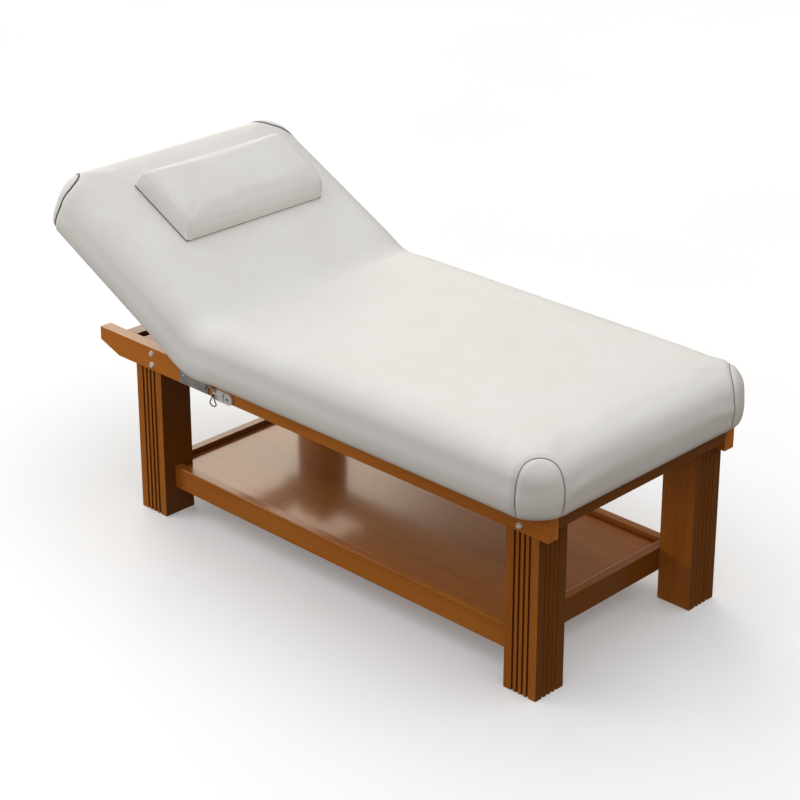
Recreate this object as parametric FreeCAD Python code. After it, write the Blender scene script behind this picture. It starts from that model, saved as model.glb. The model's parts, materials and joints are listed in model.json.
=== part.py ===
"""Wooden beauty bed: grooved post legs, bolted rails, a tray shelf and a padded top with a tilting back.

Millimetres. The bed is laid out with X from head to foot (+X), X = 0 at the outer end face of the foot
legs, Y = 0 on the middle line and Z = 0 on the floor, and is moved along X at the end so that the
origin lies on the floor under the middle of the whole bed. The camera side, -Y, is called near.
"""
import FreeCAD, Part
import math
import os

V = FreeCAD.Vector

# Legs
LEG_X = 97.0
LEG_Y = 96.0
LEG_SPAN_X = 1383.0
GROOVE_WIDTH = 6.0
GROOVE_DEPTH = 6.0
GROOVE_PITCH = 15.0
GROOVE_COUNT = 4

# Side rails and the cross rails between them
RAIL_BOTTOM = 417.0
RAIL_HEIGHT = 62.0
RAIL_THICK = 34.0
RAIL_PROUD = 6.0
RAIL_FOOT_OVERRUN = 30.0
RAIL_HEAD_OVERRUN = 136.0
RAIL_TIP_HEIGHT = 36.0
RAIL_TIP_RUN = 73.0
CROSS_RAIL_THICK = 40.0
HEAD_CROSS_GAP = 28.0
FOOT_CROSS_HEIGHT = 38.0
BEARER_WIDTH = 60.0
BEARER_HEIGHT = 40.0
BEARER_PLACES = (0.06, 0.5, 0.9)

# Bolts through rail and leg
BOLT_RADIUS = 4.0
BOLT_HOLE_GAP = 0.2
BOLT_HEAD_RADIUS = 8.0
BOLT_HEAD_HEIGHT = 5.0
BOLT_SOCKET_RADIUS = 3.4
BOLT_SOCKET_DEPTH = 3.0
BOLT_LOW = 15.0
BOLT_SPACING = 31.0
BOLT_FROM_HEAD_FACE_FOOT_LEG = 43.0
BOLT_FROM_HEAD_FACE_HEAD_LEG = 72.0
NUT_RADIUS = 8.0
NUT_HEIGHT = 7.0
NUT_WASHER_RADIUS = 11.0
NUT_WASHER_THICK = 1.6

# Tray shelf
STRETCHER_BOTTOM = 76.0
STRETCHER_HEIGHT = 62.0
STRETCHER_THICK = 24.0
STRETCHER_SET_IN = 46.0
HEAD_STRETCHER_SET_IN = 37.0
SHELF_RECESS = 14.0
SHELF_THICK = 12.0
SHELF_GAP = 0.5
CLEAT_SIZE = 18.0
TENON_LENGTH = 22.0
TENON_THICK = 12.0
TENON_HEIGHT = 42.0
TENON_GAP = 0.15

# Tilting back
AXIS_FROM_HEAD_LEG = 259.0
AXIS_DROP = 22.0
REST_TILT = 27.0
FULL_TILT = 45.0
BOARD_THICK = 15.0
BOARD_INSET = 26.0
BOARD_CORNER = 70.0
SEAT_BOARD_GAP = 14.0
BACK_BOARD_GAP = 26.0
BACK_RAIL_CLEARANCE = 0.5
BATTEN_WIDTH = 45.0
BATTEN_HEIGHT = 28.0
BATTEN_FROM_AXIS = 90.0
BATTEN_FROM_BOARD_END = 12.0
BATTEN_RAIL_CLEARANCE = 12.0

# Padding
PAD_WIDTH = 800.0
PAD_SIDE_OVERHANG = 68.0
PAD_HEIGHT = 146.0
PAD_CROWN = 9.0
PAD_CROWN_STEPS = ((0.3, 1.3), (0.75, 2.1), (1.0, 3.0))
PAD_CORNER = 96.0
PAD_LEAST_CORNER = 38.0
PAD_TOP_ROLL = 60.0
PAD_TUCK = 18.0
PAD_BELLY = 0.45
PAD_FOOT_OVERHANG = 61.0
BACK_LENGTH = 643.0
FOLD_CLEARANCE = 0.6
POCKET_GAP = 0.3

# Head pillow
PILLOW_LENGTH = 468.0
PILLOW_DEPTH = 231.0
PILLOW_HEIGHT = 63.0
PILLOW_HEAD_HEIGHT = 57.0
PILLOW_HEAD_LEAN = 4.0
PILLOW_ROLL_RUN = 20.0
PILLOW_ROLL_RISE = 46.0
PILLOW_ROLL_END = 50.0
PILLOW_END_DRAW = 7.0
PILLOW_END_STEPS = ((1.0, 1.0), (0.99, 0.45), (0.97, 0.15), (0.9, 0.0))
PILLOW_FROM_FOLD = 396.0
PILLOW_OFFSET_Y = 9.0
PILLOW_LIFT = 0.3

# Ratchet hinges on the rails' outer faces
PLATE_THICK = 3.0
PLATE_HEIGHT = 44.0
PLATE_RISE = 2.0
PLATE_HEAD_REACH = 76.0
PLATE_FOOT_REACH = 34.0
PLATE_CORNER = 6.0
PLATE_SCREW_INSET = 14.0
PLATE_SCREW_ROWS = (21.0, 36.0)
SCREW_RADIUS = 2.0
SCREW_HEAD_RADIUS = 4.0
SCREW_HEAD_HEIGHT = 1.8
SCREW_HEAD_TOP_RADIUS = 2.4
SCREW_LENGTH = 20.0
PIVOT_RADIUS = 5.0
PIVOT_HEAD_RADIUS = 9.0
PIVOT_HEAD_HEIGHT = 3.0
PIVOT_DEPTH = 26.0
RUNNING_GAP = 0.05
SIDE_GAP = 0.4
ARM_THICK = 3.0
ARM_EYE_RADIUS = 11.0
ARM_LENGTH = 230.0
ARM_START = 34.0
ARM_FLANGE = 30.0
ARM_SCREW_BITE = 10.5
ARM_SCREW_HOLE = 11.25
ARM_SCREW_PLACES = (70.0, 140.0, 210.0)
TOOTH_STEP = 9.0
TOOTH_ROOT_RADIUS = 33.0
TOOTH_HEIGHT = 3.0
TOOTH_TIP_SHARE = 0.85
PAWL_GAP = 0.6
PAWL_ROOT_WIDTH = 9.0
PAWL_TIP_WIDTH = 3.0
PAWL_LAP = 12.0

# Lock lever with its curved slot, guide stud and wire pull
LEVER_FROM_AXIS = 108.0
LEVER_HEAD_REACH = 54.0
LEVER_FOOT_REACH = 16.0
LEVER_HEIGHT = 30.0
LEVER_CORNER = 12.0
LEVER_RISE = 13.0
LEVER_SLOT_HALF_ANGLE = 34.0
LEVER_PIVOT_RADIUS = 2.5
LEVER_STUD_RADIUS = 2.2
PIN_HEAD_RATIO = 1.6
LEVER_SLOT_RADIUS = 15.0
LEVER_STUD_RECESS = 1.2
LEVER_SLOT_GAP = 0.3
LEVER_HOOK_RADIUS = 2.3
LEVER_HOOK_INSET = 6.0
LEVER_HOOK_DROP = 2.0
BAIL_WIRE_RADIUS = 1.5
BAIL_WIDTH = 24.0
BAIL_DROP = 30.0
BAIL_BOTTOM_RISE = 7.2

# Values worked out from the sizes above
RAIL_TOP = RAIL_BOTTOM + RAIL_HEIGHT
HALF_PAD = PAD_WIDTH / 2
LEG_OUT_Y = HALF_PAD - PAD_SIDE_OVERHANG
RAIL_OUT_Y = LEG_OUT_Y + RAIL_PROUD
RAIL_IN_Y = RAIL_OUT_Y - RAIL_THICK
LEG_IN_Y = LEG_OUT_Y - LEG_Y
HEAD_LEG_END = -LEG_SPAN_X
HEAD_LEG_INNER = HEAD_LEG_END + LEG_X
STRETCHER_CENTRE_Y = LEG_OUT_Y - STRETCHER_SET_IN
AXIS_X = HEAD_LEG_END + AXIS_FROM_HEAD_LEG
AXIS_Z = RAIL_TOP - AXIS_DROP
PAD_FOOT_END = PAD_FOOT_OVERHANG
BOARD_FOOT_END = PAD_FOOT_END - BOARD_INSET
BOARD_HALF_Y = HALF_PAD - BOARD_INSET
BACK_BOARD_Z = RAIL_TOP + BACK_RAIL_CLEARANCE
FOLD_LEAN = FULL_TILT / 2 + FOLD_CLEARANCE
STRETCHER_TOP = STRETCHER_BOTTOM + STRETCHER_HEIGHT
SHELF_TOP = STRETCHER_TOP - SHELF_RECESS
SHELF_BOTTOM = SHELF_TOP - SHELF_THICK
ARM_IN_Y = RAIL_OUT_Y + PLATE_THICK + SCREW_HEAD_HEIGHT + SIDE_GAP
ARM_OUT_Y = ARM_IN_Y + ARM_THICK
LEVER_IN_Y = RAIL_OUT_Y + SIDE_GAP
LEVER_OUT_Y = ARM_IN_Y
LEVER_X = AXIS_X + LEVER_FROM_AXIS
LEVER_Z = RAIL_BOTTOM + LEVER_RISE
SIDES = (("near", -1.0), ("far", 1.0))

parts = {}


def block(x0, x1, y0, y1, z0, z1):
    """A box between two corners given in any order."""
    low = V(min(x0, x1), min(y0, y1), min(z0, z1))
    return Part.makeBox(abs(x1 - x0), abs(y1 - y0), abs(z1 - z0), low)


def rod_y(radius, x, z, y0, y1):
    """A round rod along Y."""
    return Part.makeCylinder(radius, abs(y1 - y0), V(x, min(y0, y1), z), V(0, 1, 0))


def prism(points, offset):
    """A polygon pulled along an offset vector."""
    return Part.Face(Part.makePolygon(points + [points[0]])).extrude(offset)


def hexagon(radius, x, z, y0, y1):
    """A hexagonal bar along Y with the given corner radius."""
    corners = [V(x + radius * math.cos(k * math.pi / 3), y0, z + radius * math.sin(k * math.pi / 3))
               for k in range(6)]
    return prism(corners, V(0, y1 - y0, 0))


def rounded_wire(x0, x1, y0, y1, z, radius):
    """A horizontal rectangle with round corners, drawn counter-clockwise from its low X, low Y side."""
    k = radius * (1 - math.sqrt(0.5))
    edges = [
        Part.LineSegment(V(x0 + radius, y0, z), V(x1 - radius, y0, z)),
        Part.Arc(V(x1 - radius, y0, z), V(x1 - k, y0 + k, z), V(x1, y0 + radius, z)),
        Part.LineSegment(V(x1, y0 + radius, z), V(x1, y1 - radius, z)),
        Part.Arc(V(x1, y1 - radius, z), V(x1 - k, y1 - k, z), V(x1 - radius, y1, z)),
        Part.LineSegment(V(x1 - radius, y1, z), V(x0 + radius, y1, z)),
        Part.Arc(V(x0 + radius, y1, z), V(x0 + k, y1 - k, z), V(x0, y1 - radius, z)),
        Part.LineSegment(V(x0, y1 - radius, z), V(x0, y0 + radius, z)),
        Part.Arc(V(x0, y0 + radius, z), V(x0 + k, y0 + k, z), V(x0 + radius, y0, z)),
    ]
    return Part.Wire([edge.toShape() for edge in edges])


def rounded_plate(x0, x1, z0, z1, y0, y1, radius):
    """An upright plate in the XZ plane with round corners."""
    flat = Part.Face(rounded_wire(x0, x1, z0, z1, 0, radius)).extrude(V(0, 0, abs(y1 - y0)))
    flat.rotate(V(0, 0, 0), V(1, 0, 0), 90)
    flat.translate(V(0, max(y0, y1), 0))
    return flat


def tilted(shape):
    """Turns a piece of the back from flat to its photographed slope."""
    turned = shape.copy()
    turned.rotate(V(AXIS_X, 0, AXIS_Z), V(0, 1, 0), REST_TILT)
    return turned


def group(solids):
    """Separate equal solids kept together in one piece."""
    return Part.makeCompound(solids)


def bolt_points():
    """Leg bolts as (x, z) pairs: one above the other in each foot and head leg."""
    xs = (-LEG_X + BOLT_FROM_HEAD_FACE_FOOT_LEG, HEAD_LEG_END + BOLT_FROM_HEAD_FACE_HEAD_LEG)
    zs = (RAIL_BOTTOM + BOLT_LOW, RAIL_BOTTOM + BOLT_LOW + BOLT_SPACING)
    return [(x, z) for x in xs for z in zs]


def stretcher_tenon(x0, x1, y0, y1, gap):
    """The tongue on a stretcher's end, or its mortise when a gap is given."""
    middle = STRETCHER_BOTTOM + STRETCHER_HEIGHT / 2
    half = TENON_HEIGHT / 2 + gap
    return block(x0, x1, y0, y1, middle - half, middle + half)


def head_stretcher_span():
    """Outer and inner X of the head stretcher, which stands between the head legs."""
    outer = HEAD_LEG_END + HEAD_STRETCHER_SET_IN
    return outer, outer + STRETCHER_THICK


def leg(side, foot):
    """A square post: grooved on its two outer faces, halved for the rail and mortised for the shelf."""
    x0 = -LEG_X if foot else HEAD_LEG_END
    x1 = x0 + LEG_X
    outer = side * LEG_OUT_Y
    inner = side * LEG_IN_Y
    post = block(x0, x1, outer, inner, 0, RAIL_TOP)
    rail_seat = side * (RAIL_OUT_Y - RAIL_THICK)
    cuts = [block(x0, x1, outer, rail_seat, RAIL_BOTTOM, RAIL_TOP)]
    first = -GROOVE_PITCH * (GROOVE_COUNT - 1) / 2
    end_top = RAIL_TOP - FOOT_CROSS_HEIGHT if foot else RAIL_BOTTOM
    end_face = x1 if foot else x0
    end_floor = end_face - GROOVE_DEPTH if foot else end_face + GROOVE_DEPTH
    for k in range(GROOVE_COUNT):
        shift = first + k * GROOVE_PITCH
        gx = (x0 + x1) / 2 + shift
        gy = (outer + inner) / 2 + shift
        half = GROOVE_WIDTH / 2
        cuts.append(block(gx - half, gx + half, outer, outer - side * GROOVE_DEPTH, 0, RAIL_BOTTOM))
        cuts.append(block(end_face, end_floor, gy - half, gy + half, 0, end_top))
    for x, z in bolt_points():
        if x0 < x < x1:
            cuts.append(rod_y(BOLT_RADIUS + BOLT_HOLE_GAP, x, z, outer, inner))
    half = TENON_THICK / 2 + TENON_GAP
    y = side * STRETCHER_CENTRE_Y
    depth = TENON_LENGTH + TENON_GAP
    long_face = x0 if foot else x1
    long_floor = long_face + depth if foot else long_face - depth
    cuts.append(stretcher_tenon(long_face, long_floor, y - half, y + half, TENON_GAP))
    if not foot:
        middle = sum(head_stretcher_span()) / 2
        cuts.append(stretcher_tenon(middle - half, middle + half, inner, inner + side * depth, TENON_GAP))
    return post.cut(cuts).removeSplitter()


def side_rail(side):
    """A long rail with a slanted head tip, drilled for the leg bolts and the hinge fastenings."""
    head = HEAD_LEG_END - RAIL_HEAD_OVERRUN
    outline = [
        V(RAIL_FOOT_OVERRUN, 0, RAIL_BOTTOM),
        V(RAIL_FOOT_OVERRUN, 0, RAIL_TOP),
        V(head, 0, RAIL_TOP),
        V(head, 0, RAIL_TOP - RAIL_TIP_HEIGHT),
        V(head + RAIL_TIP_RUN, 0, RAIL_BOTTOM),
    ]
    outer = side * RAIL_OUT_Y
    inner = side * RAIL_IN_Y
    rail = prism(outline, V(0, RAIL_THICK, 0))
    rail.translate(V(0, min(outer, inner), 0))
    cuts = [rod_y(BOLT_RADIUS + BOLT_HOLE_GAP, x, z, outer, inner) for x, z in bolt_points()]
    cuts += [rod_y(SCREW_RADIUS + BOLT_HOLE_GAP, x, z, outer, outer - side * SCREW_LENGTH)
             for x, z in plate_screw_points()]
    cuts.append(rod_y(PIVOT_RADIUS + BOLT_HOLE_GAP, AXIS_X, AXIS_Z, outer, outer - side * PIVOT_DEPTH))
    pin_end = outer - side * SCREW_LENGTH
    cuts.append(rod_y(LEVER_PIVOT_RADIUS + BOLT_HOLE_GAP, LEVER_X, LEVER_Z, outer, pin_end))
    cuts.append(rod_y(LEVER_STUD_RADIUS + BOLT_HOLE_GAP, *stud_point(), outer, pin_end))
    return rail.cut(cuts)


def leg_bolt(side, x, z):
    """A round-headed socket bolt from the rail's outer face to the nut on the leg's inner face."""
    face = side * RAIL_OUT_Y
    back = side * (LEG_IN_Y - NUT_WASHER_THICK - NUT_HEIGHT)
    tip = face + side * BOLT_HEAD_HEIGHT
    dome_ring = Part.makeCone(BOLT_HEAD_RADIUS, BOLT_HEAD_RADIUS * 0.7, BOLT_HEAD_HEIGHT,
                              V(x, face, z), V(0, side, 0))
    socket = hexagon(BOLT_SOCKET_RADIUS, x, z, tip, tip - side * BOLT_SOCKET_DEPTH)
    return dome_ring.cut(socket).fuse(rod_y(BOLT_RADIUS, x, z, face, back)).removeSplitter()


def leg_nut(side, x, z):
    """The hexagonal nut and its round washer on a leg's inner face."""
    seat = side * LEG_IN_Y
    top = seat - side * NUT_WASHER_THICK
    washer = rod_y(NUT_WASHER_RADIUS, x, z, seat, top)
    body = hexagon(NUT_RADIUS, x, z, top, top - side * NUT_HEIGHT)
    return washer.fuse(body).cut(rod_y(BOLT_RADIUS + BOLT_HOLE_GAP, x, z, seat, top - side * NUT_HEIGHT))


def long_stretcher(side):
    """A shelf stretcher between a head leg and a foot leg, with a stub tenon at each end."""
    y = side * STRETCHER_CENTRE_Y
    half = STRETCHER_THICK / 2
    bar = block(HEAD_LEG_INNER, -LEG_X, y - half, y + half, STRETCHER_BOTTOM, STRETCHER_TOP)
    slim = TENON_THICK / 2
    tongues = stretcher_tenon(HEAD_LEG_INNER - TENON_LENGTH, -LEG_X + TENON_LENGTH, y - slim, y + slim, 0)
    return bar.fuse(tongues).removeSplitter()


def head_stretcher():
    """The short stretcher between the head legs, with a stub tenon at each end."""
    x0, x1 = head_stretcher_span()
    bar = block(x0, x1, -LEG_IN_Y, LEG_IN_Y, STRETCHER_BOTTOM, STRETCHER_TOP)
    middle = (x0 + x1) / 2
    slim = TENON_THICK / 2
    reach = LEG_IN_Y + TENON_LENGTH
    return bar.fuse(stretcher_tenon(middle - slim, middle + slim, -reach, reach, 0)).removeSplitter()


def foot_stretcher():
    """The short stretcher across the foot end of the shelf, between the long stretchers."""
    reach = STRETCHER_CENTRE_Y - STRETCHER_THICK / 2
    x1 = -LEG_X - SHELF_GAP
    return block(x1 - STRETCHER_THICK, x1, -reach, reach, STRETCHER_BOTTOM, STRETCHER_TOP)


def shelf_panel():
    """The shelf board, set down between the stretchers and notched round the head legs."""
    reach = STRETCHER_CENTRE_Y - STRETCHER_THICK / 2 - SHELF_GAP
    x0 = head_stretcher_span()[1] + SHELF_GAP
    x1 = -LEG_X - SHELF_GAP - STRETCHER_THICK - SHELF_GAP
    board = block(x0, x1, -reach, reach, SHELF_BOTTOM, SHELF_TOP)
    notch = HEAD_LEG_INNER + SHELF_GAP
    edge = LEG_IN_Y - SHELF_GAP
    return board.cut([block(x0, notch, s * edge, s * reach, SHELF_BOTTOM, SHELF_TOP) for _, s in SIDES])


def shelf_cleats():
    """Square battens along the long stretchers that carry the shelf board."""
    reach = STRETCHER_CENTRE_Y - STRETCHER_THICK / 2
    x0 = HEAD_LEG_INNER
    x1 = -LEG_X - SHELF_GAP - STRETCHER_THICK
    return group([block(x0, x1, s * reach, s * (reach - CLEAT_SIZE), SHELF_BOTTOM - CLEAT_SIZE, SHELF_BOTTOM)
                  for _, s in SIDES])


def pad_form(x0, x1):
    """A padded block on z = 0: tucked under at the bottom, full at the belly, rolled and crowned on top."""
    belly = PAD_BELLY * PAD_HEIGHT
    roll_base = PAD_HEIGHT - PAD_TOP_ROLL
    levels = []
    for angle in (0.0, 30.0, 60.0, 90.0):
        a = math.radians(angle)
        levels.append((belly * (1 - math.cos(a)), PAD_TUCK * (1 - math.sin(a))))
    for angle in (0.0, 20.0, 40.0, 58.0, 74.0):
        a = math.radians(angle)
        levels.append((roll_base + PAD_TOP_ROLL * math.sin(a), PAD_TOP_ROLL * (1 - math.cos(a))))
    for rise, run in PAD_CROWN_STEPS:
        levels.append((PAD_HEIGHT + rise * PAD_CROWN, run * PAD_TOP_ROLL))
    wires = []
    for z, inset in levels:
        radius = max(PAD_CORNER - inset, PAD_LEAST_CORNER)
        wires.append(rounded_wire(x0 + inset, x1 - inset, inset - HALF_PAD, HALF_PAD - inset, z, radius))
    return Part.makeLoft(wires, True, True)


def fold_cut(shape, keep_foot, lean, base):
    """Cuts a pad at the fold plane, which leans away from the fold by the given angle."""
    size = 2 * PAD_WIDTH
    x0, x1 = (AXIS_X - size, AXIS_X) if keep_foot else (AXIS_X, AXIS_X + size)
    tool = block(x0, x1, -size, size, base - size, base + size)
    tool.rotate(V(AXIS_X, 0, AXIS_Z), V(0, 1, 0), lean if keep_foot else -lean)
    return shape.cut(tool)


def pad_board(x0, x1, z, foot_round, head_round, grow=0.0):
    """A plywood base board with its outer corners rounded, or its pocket when it is grown a little."""
    longer = 2 * BOARD_CORNER
    a = x0 - grow if head_round else x0 - longer
    b = x1 + grow if foot_round else x1 + longer
    half = BOARD_HALF_Y + grow
    sheet = Part.Face(rounded_wire(a, b, -half, half, z, BOARD_CORNER + grow))
    solid = sheet.extrude(V(0, 0, BOARD_THICK + grow))
    return solid.common(block(max(a, x0 - grow), min(b, x1 + grow), -half, half, z, z + BOARD_THICK + grow))


def seat_board():
    """The fixed base board under the seat, from the fold to the foot."""
    return pad_board(AXIS_X + SEAT_BOARD_GAP, BOARD_FOOT_END, RAIL_TOP, True, False)


def flat_back_board():
    """The tilting base board before it is tilted."""
    head = AXIS_X - BACK_LENGTH + BOARD_INSET
    return pad_board(head, AXIS_X - BACK_BOARD_GAP, BACK_BOARD_Z, False, True)


def seat_pad():
    """The seat padding, from the fold to the foot, hollowed for its board."""
    form = pad_form(AXIS_X - 2 * PAD_CORNER, PAD_FOOT_END)
    form.translate(V(0, 0, RAIL_TOP))
    form = fold_cut(form, True, FOLD_LEAN, RAIL_TOP)
    return form.cut(pad_board(AXIS_X - PAD_CORNER, BOARD_FOOT_END, RAIL_TOP, True, False, POCKET_GAP))


def flat_back_pad():
    """The back padding before it is tilted, hollowed for its board."""
    form = pad_form(AXIS_X - BACK_LENGTH, AXIS_X + 2 * PAD_CORNER)
    form.translate(V(0, 0, BACK_BOARD_Z))
    form = fold_cut(form, False, FOLD_LEAN, BACK_BOARD_Z)
    head = AXIS_X - BACK_LENGTH + BOARD_INSET
    return form.cut(pad_board(head, AXIS_X + PAD_CORNER, BACK_BOARD_Z, False, True, POCKET_GAP))


def pillow_section(y, draw):
    """One cross-section of the pillow, drawn in by a length: upright at the head and rolled over at the foot."""
    half = PILLOW_DEPTH / 2 - draw
    head_foot, front_foot = V(-half, y, 0), V(half, y, 0)
    roll = V(half - PILLOW_ROLL_RUN, y, PILLOW_ROLL_RISE - draw)
    roll_end = V(half - PILLOW_ROLL_END, y, PILLOW_HEAD_HEIGHT - draw)
    crown = V(0, y, PILLOW_HEIGHT - draw)
    head_top = V(PILLOW_HEAD_LEAN - half, y, PILLOW_HEAD_HEIGHT - draw)
    edges = [
        Part.LineSegment(head_foot, front_foot),
        Part.Arc(front_foot, roll, roll_end),
        Part.Arc(roll_end, crown, head_top),
        Part.LineSegment(head_top, head_foot),
    ]
    return Part.Wire([edge_curve.toShape() for edge_curve in edges])


def flat_pillow():
    """The head pillow, lofted along Y with drawn-in ends, standing on the flat back."""
    half = PILLOW_LENGTH / 2
    ends = [(-place, draw) for place, draw in PILLOW_END_STEPS] + list(reversed(PILLOW_END_STEPS))
    form = Part.makeLoft([pillow_section(place * half, draw * PILLOW_END_DRAW) for place, draw in ends], True, True)
    top = BACK_BOARD_Z + PAD_HEIGHT + PAD_CROWN + PILLOW_LIFT
    form.translate(V(AXIS_X - PILLOW_FROM_FOLD, PILLOW_OFFSET_Y, top))
    return form


def plate_screw_points():
    """Wood screws of a hinge plate as (x, z) pairs, near its four corners."""
    low, _ = plate_heights()
    xs = (AXIS_X - PLATE_HEAD_REACH + PLATE_SCREW_INSET, AXIS_X + PLATE_FOOT_REACH - PLATE_SCREW_INSET)
    return [(x, low + row) for x in xs for row in PLATE_SCREW_ROWS]


def plate_heights():
    """Bottom and top of a hinge plate: it stands on the rail's lower edge."""
    low = RAIL_BOTTOM + PLATE_RISE
    return low, low + PLATE_HEIGHT


def hinge_plate(side):
    """The steel plate screwed to a rail's outer face, with a boss round the pivot."""
    face = side * RAIL_OUT_Y
    outer = face + side * PLATE_THICK
    low, high = plate_heights()
    plate = rounded_plate(AXIS_X - PLATE_HEAD_REACH, AXIS_X + PLATE_FOOT_REACH, low, high, face, outer,
                          PLATE_CORNER)
    boss = side * (ARM_IN_Y - SIDE_GAP)
    plate = plate.fuse(rod_y(ARM_EYE_RADIUS, AXIS_X, AXIS_Z, face, boss)).removeSplitter()
    cuts = [rod_y(SCREW_RADIUS + BOLT_HOLE_GAP, x, z, face, outer) for x, z in plate_screw_points()]
    cuts.append(rod_y(PIVOT_RADIUS + BOLT_HOLE_GAP, AXIS_X, AXIS_Z, face, boss))
    return plate.cut(cuts)


def hinge_screw(side, x, z):
    """A dome-headed wood screw of a hinge plate."""
    seat = side * (RAIL_OUT_Y + PLATE_THICK)
    tip = side * (RAIL_OUT_Y - SCREW_LENGTH)
    head = Part.makeCone(SCREW_HEAD_RADIUS, SCREW_HEAD_TOP_RADIUS, SCREW_HEAD_HEIGHT, V(x, seat, z), V(0, side, 0))
    return head.fuse(rod_y(SCREW_RADIUS, x, z, seat, tip)).removeSplitter()


def pivot_pin(side):
    """The shouldered pin that carries a swing arm outside its hinge plate."""
    inner = side * (RAIL_OUT_Y - PIVOT_DEPTH)
    outer = side * (ARM_OUT_Y + SIDE_GAP)
    pin = rod_y(PIVOT_RADIUS, AXIS_X, AXIS_Z, inner, outer)
    head = rod_y(PIVOT_HEAD_RADIUS, AXIS_X, AXIS_Z, outer, outer + side * PIVOT_HEAD_HEIGHT)
    return pin.fuse(head).removeSplitter()


def flat_swing_arm(side):
    """The angle bar under the back board: an eye on the pivot, a web beside the rail and a screwed flange."""
    inner = side * ARM_IN_Y
    outer = side * ARM_OUT_Y
    top = BACK_BOARD_Z
    head = AXIS_X - ARM_LENGTH
    web = prism([
        V(AXIS_X, inner, AXIS_Z + ARM_EYE_RADIUS),
        V(AXIS_X, inner, AXIS_Z - ARM_EYE_RADIUS),
        V(AXIS_X - ARM_START, inner, AXIS_Z - ARM_EYE_RADIUS),
        V(head, inner, top - 2 * ARM_THICK),
        V(head, inner, top),
        V(AXIS_X - ARM_START, inner, top),
    ], V(0, outer - inner, 0))
    eye = rod_y(ARM_EYE_RADIUS, AXIS_X, AXIS_Z, inner, outer)
    flange = block(head, AXIS_X - ARM_START, inner, inner + side * ARM_FLANGE, top - ARM_THICK, top)
    arm = web.fuse([eye, flange, ratchet_sector(inner, outer)]).removeSplitter()
    cuts = [rod_y(PIVOT_RADIUS + RUNNING_GAP, AXIS_X, AXIS_Z, inner, outer)]
    for x, y in arm_screw_points(side):
        cuts.append(Part.makeCylinder(SCREW_RADIUS + BOLT_HOLE_GAP, ARM_THICK, V(x, y, top - ARM_THICK)))
    return arm.cut(cuts)


def pawl_bearing():
    """Direction, in degrees, from the back's axis to the lock lever's pivot."""
    return math.degrees(math.atan2(LEVER_Z - AXIS_Z, LEVER_X - AXIS_X))


def ratchet_sector(inner, outer):
    """The saw-toothed quadrant on a flat arm's eye, from one tooth before the flat stop to the highest stop."""
    first = pawl_bearing() - TOOTH_STEP
    count = int(FULL_TILT / TOOTH_STEP + 0.5) + 1
    rim = [V(AXIS_X, inner, AXIS_Z)]
    for k in range(count):
        for step, radius in ((0.0, TOOTH_ROOT_RADIUS), (TOOTH_TIP_SHARE, TOOTH_ROOT_RADIUS + TOOTH_HEIGHT)):
            a = math.radians(first + (k + step) * TOOTH_STEP)
            rim.append(V(AXIS_X + radius * math.cos(a), inner, AXIS_Z + radius * math.sin(a)))
    return prism(rim, V(0, outer - inner, 0))


def lock_pawl(side):
    """The tapered nose riveted to the lock lever, which stands in front of the ratchet teeth."""
    face = side * LEVER_OUT_Y
    reach = math.hypot(LEVER_X - AXIS_X, LEVER_Z - AXIS_Z)
    tip = reach - TOOTH_ROOT_RADIUS - TOOTH_HEIGHT - PAWL_GAP
    root = LEVER_HEAD_REACH - PAWL_LAP
    nose = prism([
        V(LEVER_X - root, face, LEVER_Z - PAWL_ROOT_WIDTH / 2),
        V(LEVER_X - tip, face, LEVER_Z - PAWL_TIP_WIDTH / 2),
        V(LEVER_X - tip, face, LEVER_Z + PAWL_TIP_WIDTH / 2),
        V(LEVER_X - root, face, LEVER_Z + PAWL_ROOT_WIDTH / 2),
    ], V(0, side * ARM_OUT_Y - face, 0))
    nose.rotate(V(LEVER_X, 0, LEVER_Z), V(0, 1, 0), -pawl_bearing())
    return nose


def arm_screw_points(side):
    """Wood screws up through a swing arm's flange as (x, y) pairs."""
    y = side * (ARM_OUT_Y + ARM_IN_Y + ARM_FLANGE) / 2
    return [(AXIS_X - place, y) for place in ARM_SCREW_PLACES]


def flat_arm_screws():
    """The screws that hold both swing arms to the back board."""
    screws = []
    for _, side in SIDES:
        for x, y in arm_screw_points(side):
            seat = BACK_BOARD_Z - ARM_THICK
            head = Part.makeCone(SCREW_HEAD_TOP_RADIUS, SCREW_HEAD_RADIUS, SCREW_HEAD_HEIGHT,
                                 V(x, y, seat - SCREW_HEAD_HEIGHT))
            shank = Part.makeCylinder(SCREW_RADIUS, ARM_THICK + ARM_SCREW_BITE, V(x, y, seat))
            screws.append(head.fuse(shank).removeSplitter())
    return group(screws)


def board_screw_holes():
    """Pilot holes for the arm screws in the flat back board."""
    return [Part.makeCylinder(SCREW_RADIUS + BOLT_HOLE_GAP, ARM_SCREW_HOLE, V(x, y, BACK_BOARD_Z))
            for _, side in SIDES for x, y in arm_screw_points(side)]


def flat_battens():
    """Cross battens that stiffen the back board, clear of the rails when it lies flat."""
    reach = RAIL_IN_Y - BATTEN_RAIL_CLEARANCE
    solids = []
    head_end = AXIS_X - BACK_LENGTH + BOARD_INSET + BATTEN_FROM_BOARD_END
    for x0 in (AXIS_X - BATTEN_FROM_AXIS - BATTEN_WIDTH, head_end):
        solids.append(block(x0, x0 + BATTEN_WIDTH, -reach, reach, BACK_BOARD_Z - BATTEN_HEIGHT, BACK_BOARD_Z))
    return group(solids)


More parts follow.
